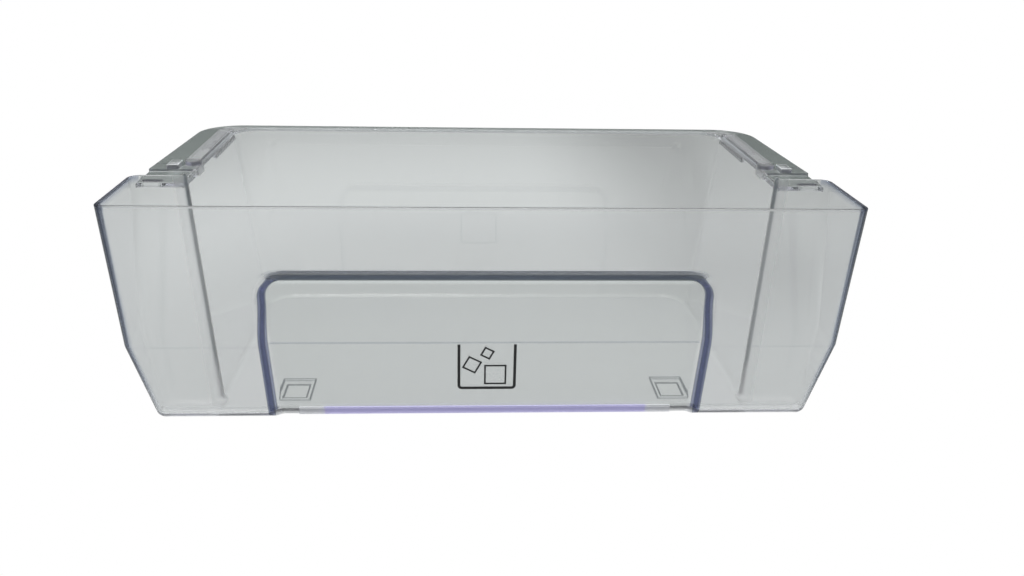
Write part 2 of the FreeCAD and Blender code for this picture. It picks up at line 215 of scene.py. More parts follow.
def planPath(z, inset):
    # Plan outline at the heights z, moved inwards by inset, anticlockwise from the left
    # end of the front. Each corner is a quarter circle: centre plus radius times the
    # turning unit vector. Returns x, y and the outward normal, each (rows, columns).
    w, d = walls, divisions
    z = np.atleast_1d(np.asarray(z, float))
    wing, tub = wingAt(z) - inset, tubAt(z) - inset
    front, shoulder, rear = frontAt(z) + inset, shoulderAt(z) - inset, rearAt(z) - inset
    corners = [
        (wing, front, w["frontCorner"] - inset, (1, 0), (0, 1), d["frontCorner"]),
        (wing, shoulder, w["wingCorner"] - inset, (0, 1), (-1, 0), d["wingCorner"]),
        (tub, shoulder, w["innerCorner"] + inset, (-1, 0), (0, 1), d["innerCorner"]),
        (tub, rear, w["rearCorner"] - inset, (0, 1), (-1, 0), d["rearCorner"]),
    ]
    corners += [(-x, y, radius, (d2[0], -d2[1]), (d1[0], -d1[1]), count)
                for x, y, radius, d1, d2, count in reversed(corners)]
    runs = [wingRun, sideRun, sideColumns, rearRun, 1 - sideColumns[::-1], sideRun, wingRun]
    frontX = frontColumns(z, wing - (w["frontCorner"] - inset))
    xs, ys = [frontX], [np.broadcast_to(front, frontX.shape)]
    nxs, nys = [np.zeros(frontX.shape)], [-np.ones(frontX.shape)]
    for i, (cx, cy, radius, d1, d2, count) in enumerate(corners):
        turn = np.linspace(0, math.pi / 2, count)[:, None]
        ex = -d2[0] * np.cos(turn) + d1[0] * np.sin(turn)
        ey = -d2[1] * np.cos(turn) + d1[1] * np.sin(turn)
        centreX = cx - radius * d1[0] + radius * d2[0]
        centreY = cy - radius * d1[1] + radius * d2[1]
        side = 1.0 if d1[0] * d2[1] - d1[1] * d2[0] > 0 else -1.0
        xs.append(centreX + radius * ex)
        ys.append(centreY + radius * ey)
        nxs.append(side * ex + 0 * centreX)
        nys.append(side * ey + 0 * centreY)
        if i < len(runs):
            following = corners[i + 1]
            startX, startY = cx + radius * d2[0], cy + radius * d2[1]
            endX = following[0] - following[2] * following[3][0]
            endY = following[1] - following[2] * following[3][1]
            share = runs[i][:, None]
            xs.append(startX + (endX - startX) * share)
            ys.append(startY + (endY - startY) * share)
            nxs.append(np.full(xs[-1].shape, float(d2[1])))
            nys.append(np.full(ys[-1].shape, float(-d2[0])))
    return [np.concatenate(part).T for part in (xs, ys, nxs, nys)]


def bendProfile(run, slope, depth, mouthRadius, footRadius):
    # Depth across the slanted side of the recess: nought outside, then a line that
    # gains one in depth for each slope of run, then flat, with a circular arc at both
    # bends. An arc of radius R starts R tan(half the bend) before its bend.
    bend = np.arctan2(1.0, slope)
    mouthReach = mouthRadius * np.tan(bend / 2)
    footReach = footRadius * np.tan(bend / 2)
    line = np.clip(run / slope, 0, depth)
    fromStart = np.clip(run + mouthReach, 0, mouthRadius)
    mouthArc = mouthRadius - np.sqrt(mouthRadius ** 2 - fromStart ** 2)
    toEnd = np.clip(slope * depth + footReach - run, 0, footRadius)
    footArc = depth - footRadius + np.sqrt(footRadius ** 2 - toEnd ** 2)
    made = np.where((run > -mouthReach) & (run < mouthReach * np.cos(bend)), mouthArc, line)
    return np.where((run > slope * depth - footReach * np.cos(bend))
                    & (run < slope * depth + footReach), footArc, made)


def gripDepth(x, z, grow):
    # How far the front face is set back at x and z. The arch outline at depth q has its
    # half width less by sideSlope q and its top less by topSlope q. Solving the outline
    # for q gives a depth on the sides, on the top, and by a quadratic in the corners.
    g = grip
    s, k = g["sideSlope"], g["topSlope"]
    lean = frontAt(z) + walls["halfDepth"] - walls["frontLeanHigh"] + grow
    radius = g["corner"] + grow * (math.hypot(1, s) + math.hypot(1, k)) / 2
    half = g["half"] + grow * math.hypot(1, s) - s * lean
    top = g["top"] + grow * math.hypot(1, k) - k * lean
    across, up = np.abs(x), z
    a, b = across - half + radius, up - top + radius
    sideQ, topQ = (half - across) / s, (top - up) / k
    total = s * s + k * k
    cross = a * s + b * k
    root = np.sqrt(np.maximum(cross ** 2 - total * (a * a + b * b - radius ** 2), 0))
    cornerQ = (root - cross) / total
    onSide = b + k * sideQ <= 0
    onTop = (a + s * topQ <= 0) & ~onSide
    q = np.where(onSide, sideQ, np.where(onTop, topQ, cornerQ))
    nx = np.clip((a + s * cornerQ) / radius, 0, 1)
    nz = np.clip((b + k * cornerQ) / radius, 0, 1)
    size = np.maximum(np.hypot(nx, nz), 1e-6)
    slope = np.where(onSide, s, np.where(onTop, k, (s * nx + k * nz) / size))
    slope = np.maximum(slope, k * g["slopeFloor"])
    if grow > 0:
        mouth, foot = g["mouthRadius"], g["innerRadius"] + grow
    else:
        mouth, foot = g["mouthRadius"] + walls["thickness"], g["innerRadius"]
    return bendProfile(q * slope, slope, g["depth"], mouth, foot)


# heights of the wall rows above the rounded bottom edge
wallRows = np.concatenate([
    [8, 12, 18, 26, 34, 42, 47, 49.3, 50, 50.7, 53, 58, 63, 67],
    np.arange(69, 103.5, 0.75), [105, 109, 115, 122, 128, 132.5]])


def wallLayer(inset, floorZ, radius):
    # One layer of the walls as rows of points from the floor ring to under the rim.
    # In each column the bottom is an arc of the given radius that is tangent to the
    # floor and to the wall line, whose outward lean is the slope of the path in z.
    w = walls
    grow = w["thickness"] if inset == w["thickness"] else 0.0
    x0, y0, nx, ny = [part[0] for part in planPath(floorZ, inset)]
    x1, y1 = [part[0] for part in planPath(floorZ + leanSpan, inset)[:2]]
    lean = ((x1 - x0) * nx + (y1 - y0) * ny) / leanSpan
    lastTurn = np.arctan2(1.0, lean)
    centre = lean * radius - radius * np.sqrt(1 + lean ** 2)
    rows = []
    for share in np.linspace(0, 1, divisions["bottomArc"]):
        turn = lastTurn * share
        rise = radius * (1 - np.cos(turn))
        out = centre + radius * np.sin(turn) - lean * rise
        px = x0 + (x1 - x0) * rise / leanSpan + nx * out
        py = y0 + (y1 - y0) * rise / leanSpan + ny * out
        rows.append(np.stack([px, py, floorZ + rise], axis=-1))
    rows.append(rows[-1] + np.stack([(x1 - x0) * (support / leanSpan),
                                     (y1 - y0) * (support / leanSpan),
                                     np.full(x0.shape, support)], axis=-1))
    xs, ys = planPath(wallRows, inset)[:2]
    high = np.stack([xs, ys, np.broadcast_to(wallRows[:, None], xs.shape)], axis=-1)
    layer = np.concatenate([np.array(rows), high])
    x, y, z = layer[..., 0], layer[..., 1], layer[..., 2]
    onFrontColumns = np.arange(layer.shape[1]) < frontCount
    setBack = gripDepth(x, z, grow)
    line = frontAt(z) + w["thickness"] * (grow > 0) + w["skinGap"] * (grow == 0) + setBack
    layer[..., 1] = np.where(onFrontColumns[None, :] & (setBack > 0), np.maximum(y, line), y)
    return layer


def rimHeights():
    # height of the rim over each column: full at the front, lower along the tub
    w = walls
    y = planPath(w["height"], 0.0)[1][0]
    share = np.clip((y - w["rampStart"]) / (w["rampEnd"] - w["rampStart"]), 0, 1)
    return w["height"] - (w["height"] - w["lowRim"]) * share * share * (3 - 2 * share)


def rimPoints(inset, heights):
    # plan points of one layer at a height that differs from column to column
    under = walls["height"] - leanSpan
    low, high = planPath(under, inset), planPath(walls["height"], inset)
    share = (heights - under) / leanSpan
    x = low[0][0] + (high[0][0] - low[0][0]) * share
    y = low[1][0] + (high[1][0] - low[1][0]) * share
    return np.stack([x, y, heights], axis=-1)


def flangeOutline():
    # outer outline of the flange, one point for each column of the tub behind its front:
    # a tapering side, a quarter circle, the straight rear, and back
    f = flange
    shares = sideColumns[flangeColumn:]
    along = (shares - shares[0]) / (1 - shares[0])
    endY = f["rear"] - f["radius"]
    taper = (f["frontHalf"] - f["rearHalf"]) / (f["rear"] - f["front"])
    sideY = f["front"] + (endY - f["front"]) * along
    sideX = f["frontHalf"] - taper * (sideY - f["front"])
    turn = np.linspace(0, math.pi / 2, divisions["rearCorner"])
    lastX = f["frontHalf"] - taper * (endY - f["front"])
    arcX = lastX - f["radius"] + f["radius"] * np.cos(turn)
    arcY = endY + f["radius"] * np.sin(turn)
    right = np.stack([np.concatenate([sideX, arcX]), np.concatenate([sideY, arcY])], axis=-1)
    rearX = arcX[-1] * (1 - 2 * rearRun)
    rear = np.stack([rearX, np.full(rearX.shape, f["rear"])], axis=-1)
    return np.concatenate([right, rear, right[::-1] * np.array([-1, 1])])


def rimRows():
    # The rim between the two layers. Over the front columns it goes up the outer wall,
    # round the outer edge, over the flat top and round the inner edge. Over the tub
    # columns it also goes out along the underside of the flange, round its edge and back.
    w, f, v = walls, flange, rim
    t, gap, low = w["thickness"], w["skinGap"], w["lowRim"]
    heights = rimHeights()
    topX, topY = [part[0] for part in planPath(w["height"], 0.0)[:2]]
    flangeY = tubTopStart + sideColumns[flangeColumn] * (tubTopEnd - tubTopStart)
    behind = topY > flangeY - near
    outline = np.zeros((len(topY), 2))
    outline[behind] = flangeOutline()
    beadFront = bead["front"] + bead["width"] / 2 - near
    beadRear = bead["rear"] - divisions["beadStep"]
    underBead = (topY > beadFront) & (topY < beadRear) & (np.abs(topX) > v["tubFrom"])
    outerTop, innerTop = rimPoints(gap, heights), rimPoints(t, heights)
    across = innerTop - outerTop
    across = across / np.linalg.norm(across, axis=1)[:, None]
    away = outline - rimPoints(gap, heights)[:, :2]
    away = away / np.linalg.norm(away, axis=1)[:, None]
    rows = []

    def addRow(inward, drop, shrink, flangeHeight):
        # plain columns: moved inward from the wall and down from the rim. Flange
        # columns: shrunk from the outline, or on the wall itself when shrink is None
        row = rimPoints(gap, heights - drop) + across * inward
        if shrink is None:
            onWall = rimPoints(gap, np.full(len(heights), flangeHeight))
            row[behind] = onWall[behind]
        else:
            row[behind, :2] = (outline - away * shrink)[behind]
            row[behind, 2] = flangeHeight
        rows.append(row)

    r, fr, under = w["rimRadius"], f["edgeRadius"], low - f["thickness"]
    arc = [(1 - math.sin(turn), 1 - math.cos(turn))
           for turn in np.linspace(0, math.pi / 2, divisions["edgeArc"])]
    addRow(0, v["drops"][0], None, under - v["underStep"])
    addRow(0, v["drops"][1], None, under)
    addRow(0, v["drops"][2], fr + v["flat"], under)
    for k, (short, slant) in enumerate(arc):
        addRow(0, v["drops"][3] - v["dropStep"] * k, fr * short, under + fr * slant)
    for short, slant in arc:
        addRow(r * slant, r * short, fr * slant, low - fr * short)
    addRow(r + v["topWays"][0], 0, fr + v["flat"], low)
    addRow(r + v["topWays"][1], 0, None, low)
    roundness = np.where(underBead, v["beadEdge"], r)[:, None]
    for short, slant in arc:
        row = innerTop - across * roundness * short
        row[:, 2] = heights - roundness[:, 0] * slant
        rows.append(row)
    rows.append(rimPoints(t, heights - v["innerDrop"]))
    return np.array(rows)


def buildShell():
    w = walls
    outer = wallLayer(w["skinGap"], w["skinGap"], w["bottomRadius"])
    inner = wallLayer(w["thickness"], w["floor"], w["bottomRadius"] - w["thickness"])
    rings = np.concatenate([outer, rimRows(), inner[::-1]])
    return ringSolid("shell", rings)


# Features that are united with the moulding or cut from it. Sinks, gaps and what goes
# past a face keep two faces from lying on each other.
squareCorners = ((-1, -1), (1, -1), (1, 1), (-1, 1))
ledge = {
    "inner": 190.8, "outer": 221.47, "front": -53.8, "riserFront": -22.0, "riserRear": -19.0,
    "low": 132.5, "top": 135.0, "riserTop": 137.0, "cornerRadius": 0.6, "edgeRadius": 0.5,
    "slotX": 212.5, "slotY": -45.5, "slotLength": 14.0, "slotWidth": 6.0, "slotPast": 1.0,
}
stopBlock = {
    "inner": 202.0, "outer": 210.0, "front": -21.95, "rear": -8.0, "low": 136.0,
    "top": 140.0, "cornerRadius": 1.2, "edgeRadius": 1.0,
}
ribs = {
    "count": 13, "pitch": 5.2, "thickness": 1.6, "rear": 94.5, "reach": 199.1, "root": 193.7,
    "wallTop": 190.9, "wallLow": 190.2, "low": 131.4, "under": 134.5, "nose": 132.9,
    "cornerRadius": 0.45, "edgeRadius": 0.3, "stripSink": 0.6, "ribSink": 0.7, "gap": 0.02,
    "wallGapLow": 0.05, "wallGapTop": 0.1,
}
gripLip = {
    "half": 118.2, "low": 0.1, "top": 5.0, "frontLow": -108.1, "frontTop": -108.5,
    "rear": -105.4, "cornerRadius": 0.6, "edgeRadius": 0.45,
}
pockets = {
    "x": 124.0, "y": -76.5, "width": 21.0, "length": 30.0,
    "bottomWidth": 15.0, "bottomLength": 19.0, "bottom": 1.2, "cornerRadius": 1.0,
    "past": 1.0,
}


def roundedOutline(corners, pointsPerCorner=8):
    # Closed outline of corners (u, v, r). Each corner is a circular arc between the
    # points r before and after it, as a conic whose middle weight is the sine of half
    # the angle between the two sides.
    points = []
    count = len(corners)
    share = np.linspace(0, 1, pointsPerCorner)[:, None]
    for i, (u, v, reach) in enumerate(corners):
        here = np.array([u, v], float)
        if reach == 0:
            points.append(here[None, :])
            continue
        before = np.array(corners[i - 1][:2]) - here
        after = np.array(corners[(i + 1) % count][:2]) - here
        before, after = before / np.linalg.norm(before), after / np.linalg.norm(after)
        weight = math.sqrt((1 - float(before @ after)) / 2)
        first, middle, last = (1 - share) ** 2, 2 * share * (1 - share) * weight, share ** 2
        arc = first * (here + before * reach) + middle * here + last * (here + after * reach)
        points.append(arc / (first + middle + last))
    outline = np.concatenate(points)
    outline = outline[np.linalg.norm(outline - np.roll(outline, 1, axis=0), axis=1) > 1e-6]
    following = np.roll(outline, -1, axis=0)
    area = np.sum(outline[:, 0] * following[:, 1] - following[:, 0] * outline[:, 1])
    return outline if area > 0 else outline[::-1]


def insetOutline(outline, amount):
    # each point moves along the mean of its two side normals, so that both sides move
    # inwards by the amount
    side = np.roll(outline, -1, axis=0) - outline
    normal = np.stack([-side[:, 1], side[:, 0]], axis=-1)
    normal = normal / np.linalg.norm(normal, axis=1)[:, None]
    last = np.roll(normal, 1, axis=0)
    mean = normal + last
    return outline + amount * mean / (1 + np.sum(normal * last, axis=1))[:, None]


def roundedEnds(low, high, radius, roundLow, roundHigh, steps=5):
    # (inset, place) of the rings of a solid whose ends may have rounded edges
    turns = np.linspace(0, math.pi / 2, steps)
    levels = []
    if roundLow:
        levels += [(radius * (1 - math.sin(a)), low + radius * (1 - math.cos(a)))
                   for a in turns]
    else:
        levels.append((0.0, low))
    if roundHigh:
        levels += [(radius * (1 - math.cos(a)), high - radius * (1 - math.sin(a)))
                   for a in turns]
    else:
        levels.append((0.0, high))
    return levels


def carried(outline, levels, axes, side=1):
    # Rings of the outline, inset and placed along the third axis by the levels. The
    # axes say which of x, y, z the outline's u, v and the way along are (0, 1 or 2).
    rings = np.array([
        np.column_stack([insetOutline(outline, inset), np.full(len(outline), place)])
        for inset, place in levels])
    placed = np.empty_like(rings)
    for i, axis in enumerate(axes):
        placed[..., axis] = rings[..., i]
    if side < 0:
        placed = placed[:, ::-1] * np.array([-1, 1, 1])
    return ringSolid("feature", placed)


def beadSolid(side):
    # a bar over the top of the tub wall, with a half round front end
    b = bead
    low, high, half = b["inner"], b["inner"] + b["width"], b["width"] / 2
    outline = roundedOutline([
        (low, b["front"], half), (high, b["front"], half),
        (high, b["rear"], b["rearRadius"]), (low, b["rear"], b["rearRadius"])],
        pointsPerCorner=14)
    levels = roundedEnds(b["low"], b["top"], b["edgeRadius"], False, True, steps=7)
    return carried(outline, levels, (0, 1, 2), side)


def ledgeSolid(side):
    # a plate and the riser at its back, one L-shaped profile carried across
    v = ledge
    r = v["cornerRadius"]
    outline = roundedOutline([
        (v["front"], v["low"], 0), (v["riserRear"], v["low"], 0),
        (v["riserRear"], v["riserTop"], 0), (v["riserFront"], v["riserTop"], r),
        (v["riserFront"], v["top"], r), (v["front"], v["top"], 0)])
    levels = roundedEnds(v["inner"], v["outer"], v["edgeRadius"], False, True)
    return carried(outline, levels, (1, 2, 0), side)


def slotSolid(side):
    # the hollow of a slot with rounded corners
    v = ledge
    halfLength, halfWidth = v["slotLength"] / 2, v["slotWidth"] / 2
    outline = roundedOutline([
        (v["slotX"] + a * halfLength, v["slotY"] + b * halfWidth, halfWidth)
        for a, b in squareCorners], pointsPerCorner=12)
    levels = [(0.0, v["low"] - v["slotPast"]), (0.0, v["top"] + v["slotPast"])]
    return carried(outline, levels, (0, 1, 2), side)


def stopSolid(side):
    # a small block with rounded edges
    v = stopBlock
    r = v["cornerRadius"]
    outline = roundedOutline([(v["inner"], v["front"], r), (v["outer"], v["front"], r),
                              (v["outer"], v["rear"], r), (v["inner"], v["rear"], r)])
    levels = roundedEnds(v["low"], v["top"], v["edgeRadius"], False, True, steps=6)
    return carried(outline, levels, (0, 1, 2), side)


def ribStrip(side):
    # upright strip along the tub wall that the ribs stand on
    v = ribs
    first = v["rear"] - v["pitch"] * (v["count"] - 1) - v["thickness"]
    high = v["under"] + v["stripSink"]
    outline = roundedOutline([(high, v["wallTop"], 0), (high, v["root"], 0),
                              (v["low"], v["root"], v["cornerRadius"]),
                              (v["low"], v["wallLow"], 0)])
    levels = roundedEnds(first + v["gap"], v["rear"] - v["gap"], v["edgeRadius"], True, True)
    return carried(outline, levels, (2, 0, 1), side)


def ribSolids(side):
    # ribs whose lower edge slants up from the wall, one outline carried along for each
    v = ribs
    high = v["under"] + v["ribSink"]
    outline = roundedOutline([
        (v["low"] + v["gap"], v["wallLow"] + v["wallGapLow"], 0),
        (v["nose"], v["reach"], v["cornerRadius"]), (high, v["reach"], 0),
        (high, v["wallTop"] + v["wallGapTop"], 0)], pointsPerCorner=4)
    made = []
    for number in range(v["count"]):
        last = v["rear"] - v["pitch"] * number
        levels = roundedEnds(last - v["thickness"], last, v["edgeRadius"], True, True, steps=3)
        made.append(carried(outline, levels, (2, 0, 1), side))
    return made


def lipSolid():
    # the low bar along the foot of the recess, its section carried across
    v = gripLip
    r = v["cornerRadius"]
    outline = roundedOutline([(v["rear"], v["low"], 0), (v["rear"], v["top"], 0),
                              (v["frontTop"], v["top"], r), (v["frontLow"], v["low"], r)])
    levels = roundedEnds(-v["half"], v["half"], v["edgeRadius"], True, True)
    return carried(outline, levels, (1, 2, 0))


def pocketSolid(side):
    # the hollow of a floor pocket, wider at its top than at its bottom
    p = pockets
    rings = []
    for z in (p["bottom"], walls["floor"] + p["past"]):
        share = (z - p["bottom"]) / (walls["floor"] - p["bottom"])
        halfX = (p["bottomWidth"] + (p["width"] - p["bottomWidth"]) * share) / 2
        halfY = (p["bottomLength"] + (p["length"] - p["bottomLength"]) * share) / 2
        x, y, r = side * p["x"], p["y"], p["cornerRadius"]
        outline = roundedOutline([
            (x + a * halfX, y + b * halfY, r)
            for a, b in squareCorners], pointsPerCorner=6)
        rings.append(np.column_stack([outline, np.full(len(outline), z)]))
    return ringSolid("pocket", np.array(rings))


def joined(parts):
    # one mesh object from several helper solids that don't touch each other
    points, faces, start = [], [], 0
    for part in parts:
        mesh = part.data
        block = np.empty(len(mesh.vertices) * 3)
        mesh.vertices.foreach_get("co", block)
        points.append(block.reshape(-1, 3) / toMetres)
        faces += [[start + i for i in polygon.vertices] for polygon in mesh.polygons]
        start += len(mesh.vertices)
        bpy.data.objects.remove(part)
        bpy.data.meshes.remove(mesh)
    return makeObject("helper", makeMesh("helper", np.concatenate(points), faces))


def combine(base, others):
    # unites or cuts the helper solids with the base one by one and drops them
    for other, action in others:
        step = base.modifiers.new("step", "BOOLEAN")
        step.operation = action
        step.solver = "EXACT"
        step.object = other
        graph = bpy.context.evaluated_depsgraph_get()
        result = bpy.data.meshes.new_from_object(base.evaluated_get(graph))
        base.modifiers.clear()
        old = base.data
        base.data = result
        bpy.data.meshes.remove(old)
        helperMesh = other.data
        bpy.data.objects.remove(other)
        bpy.data.meshes.remove(helperMesh)
        print("  ", action.lower(), len(result.polygons), "faces")
    return base


print("building the moulding")
bothSides = (1, -1)
raised = [lipSolid()]
raised += [build(side) for build in (ledgeSolid, ribStrip) for side in bothSides]
standing = [build(side) for build in (beadSolid, stopSolid) for side in bothSides]
standing += ribSolids(1) + ribSolids(-1)
hollows = [build(side) for build in (slotSolid, pocketSolid) for side in bothSides]
moulding = combine(buildShell(), [
    (joined(raised), "UNION"), (joined(standing), "UNION"), (joined(hollows), "DIFFERENCE")])
moulding.name = "clear_moulding"
moulding.data.name = "clear_moulding"
moulding.data.shade_smooth()
moulding.data.set_sharp_from_angle(angle=math.radians(walls["smoothAngle"]))
weighted = moulding.modifiers.new("weighted", "WEIGHTED_NORMAL")
weighted.keep_sharp = True
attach(moulding, "root")
clearNodes = [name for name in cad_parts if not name.startswith("ice_mark")]
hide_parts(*clearNodes)


# Materials. Colours are red, green and blue.
white, nothing = (1.0, 1.0, 1.0), (0.0, 0.0, 0.0)


def newMaterial(name):
    made = bpy.data.materials.new(name)
    made.use_nodes = True
    tree = made.node_tree
    tree.nodes.clear()
    return made, tree, tree.nodes.new("ShaderNodeOutputMaterial")


class nodeMaths:
    # short calls for the maths nodes of one tree; numbers and sockets may be mixed
    def __init__(self, tree):
        self.tree = tree

    def put(self, socket, value):
        if isinstance(value, bpy.types.NodeSocket):
            self.tree.links.new(value, socket)
        else:
            socket.default_value = (*value, 1.0) if isinstance(value, tuple) else value

    def math(self, operation, *values):
        node = self.tree.nodes.new("ShaderNodeMath")
        node.operation = operation
        for socket, value in zip(node.inputs, values):
            self.put(socket, value)
        return node.outputs[0]

    def line(self, value, slope, start):
        return self.math("MULTIPLY_ADD", value, slope, start)

    def less(self, first, second):
        return self.math("SUBTRACT", first, second)

    def size(self, value):
        return self.math("ABSOLUTE", value)

    def times(self, first, *others):
        for other in others:
            first = self.math("MULTIPLY", first, other)
        return first

    def most(self, first, *others):
        for other in others:
            first = self.math("MAXIMUM", first, other)
        return first

    def hypot(self, first, second):
        return self.math("SQRT", self.math("ADD", self.times(first, first),
                                           self.times(second, second)))

    def rise(self, value, start, end, low=0.0, high=1.0):
        # smooth step from low at the start to high at the end
        node = self.tree.nodes.new("ShaderNodeMapRange")
        node.interpolation_type = "SMOOTHSTEP"
        for name, given in (("Value", value), ("From Min", start), ("From Max", end),
                            ("To Min", low), ("To Max", high)):
            self.put(node.inputs[name], given)
        return node.outputs[0]

    def fall(self, value, start, end):
        return self.rise(value, start, end, 1.0, 0.0)

    def band(self, value, start, end, blur):
        # one between start and end, nought outside
        return self.times(self.rise(value, start - blur, start + blur),
                          self.fall(value, end - blur, end + blur))

    def mix(self, mask, first, second, blend="MIX"):
        node = self.tree.nodes.new("ShaderNodeMix")
        node.data_type, node.blend_type = "RGBA", blend
        for i, value in ((0, mask), (6, first), (7, second)):
            self.put(node.inputs[i], value)
        return node.outputs[2]

    def fromBox(self, u, v, place, half):
        # distance outwards from the sides of a rectangle
        return self.most(*(self.less(self.size(self.less(value, middle)), reach)
                           for value, middle, reach in zip((u, v), place, half)))

    def places(self):
        # Object coordinates in millimetres, as x, y and z
        coordinates = self.tree.nodes.new("ShaderNodeTexCoord")
        scale = self.tree.nodes.new("ShaderNodeVectorMath")
        scale.operation = "SCALE"
        scale.inputs[3].default_value = 1 / toMetres
        split = self.tree.nodes.new("ShaderNodeSeparateXYZ")
        self.tree.links.new(coordinates.outputs["Object"], scale.inputs[0])
        self.tree.links.new(scale.outputs[0], split.inputs[0])
        return split.outputs[0], split.outputs[1], split.outputs[2]

    def noise(self, scale, detail):
        coordinates = self.tree.nodes.new("ShaderNodeTexCoord")
        grain = self.tree.nodes.new("ShaderNodeTexNoise")
        for name, value in (("Vector", coordinates.outputs["Object"]), ("Scale", scale),
                            ("Detail", detail)):
            self.put(grain.inputs[name], value)
        return grain.outputs[0]

    def zone(self, at, rows):
        # Where all rows hold. A row is the name of a mask, or a measure and two places:
        # it rises from the first to the second, or falls where the first is the higher.
        # A further number makes it a band between the two, blurred by that much.
        parts = []
        for row in rows:
            if isinstance(row, str):
                parts.append(at[row])
            elif len(row) == 4:
                parts.append(self.band(at[row[0]], *row[1:]))
            elif row[1] < row[2]:
                parts.append(self.rise(at[row[0]], row[1], row[2]))
            else:
                parts.append(self.fall(at[row[0]], row[2], row[1]))
        return self.times(*parts)


# the clear plastic as a whole
plastic = {
    "roughness": 0.015, "mattRoughness": 0.35, "ior": 1.53, "transmission": 0.93,
    "absorption": (0.08, 0.0, 0.6), "density": 4.0,
    "rippleScale": 16.0, "rippleHeight": 0.00002, "rippleDetail": 1.0,
}
# painted shade: the dark band along the grip arch, as distances inwards from its edge
archShadeBand = {
    "widening": 0.055, "topShift": 1.2, "cornerReach": 12.0, "shift": (50.0, 84.0),
    "low": (-0.6, 3.1), "high": (2.3, 6.0), "top": (0.2, 6.2),
    "sideShade": (0.12, 0.14, 0.28), "topShade": (0.13, 0.155, 0.21),
    "creaseShare": (4.0, 6.0, 0.25, 1.0),
}
# faint square left by the mould on the rear wall, in x and z
mouldSquare = {"place": (-0.8, 58.2), "half": (14.2, 11.8)}
beadOuter = bead["inner"] + bead["width"]

# Places on the plastic. A mask holds where any of its lists of rows does. What a row
# says stands in zone, and what it measures in measures.
plasticMasks = {
    "atFront": [[("y", -100.0, -104.0)]],
    "atCorner": [[("y", -112.0, -116.0)]],
    "atReturn": [[("y", -50.0, -52.0)]],
    "overArch": [["topShare", "atFront"]],
    "onArchBand": [["atFront", ("inBand", -0.35, 0.35)]],
    "onRim": [["atReturn", ("fromWing", 3.1, 2.7), ("z", 138.2, 139.2), ("y", -117.0, -115.0)]],
    "onFlat": [[("z", 133.9, 137.12, 0.06), ("y", -22.3, -21.9)],
               [("z", 132.3, 135.1, 0.06), ("y", -48.5, ledge["riserRear"], 0.2)]],
    "pastWall": [[("across", beadOuter - 0.4, beadOuter + 0.2)],
                 [("across", bead["inner"] + 2.0, bead["inner"] + 2.6),
                  ("y", bead["front"] + 0.3, bead["front"] - 0.3)],
                 [("y", 116.0, 116.6)]],
    "onLip": [[("y", -106.2, -106.6), ("z", 5.3, 4.9),
               ("across", gripLip["half"] + 0.4, gripLip["half"] - 0.6)]],
    "lipMiddle": [["onLip", ("across", 104.0, 101.0)]],
    # bottom edge, inner corners, small forms, rims and the top of the arch are matt
    "matt": [["atFront", ("z", 5.6, 4.6)],
             [("nearTub", 6.0, 4.0), ("fromShoulder", 6.0, 4.0)],
             [("z", 131.5, 132.5), ("y", -23.0, -6.0, 1.0)],
             ["onRim"],
             ["atFront", ("z", 138.6, 139.0)],
             ["overArch", ("run", -2.0, 7.0, 0.5)],
             [("z", 134.2, 134.6), ("y", 108.0, 110.0)]],
}
# painted shade: dark lines round the floor pockets, and how far from their outlines they reach
pocketLine, pocketShade = (0.88, 0.33), (0.14, 0.16, 0.18)
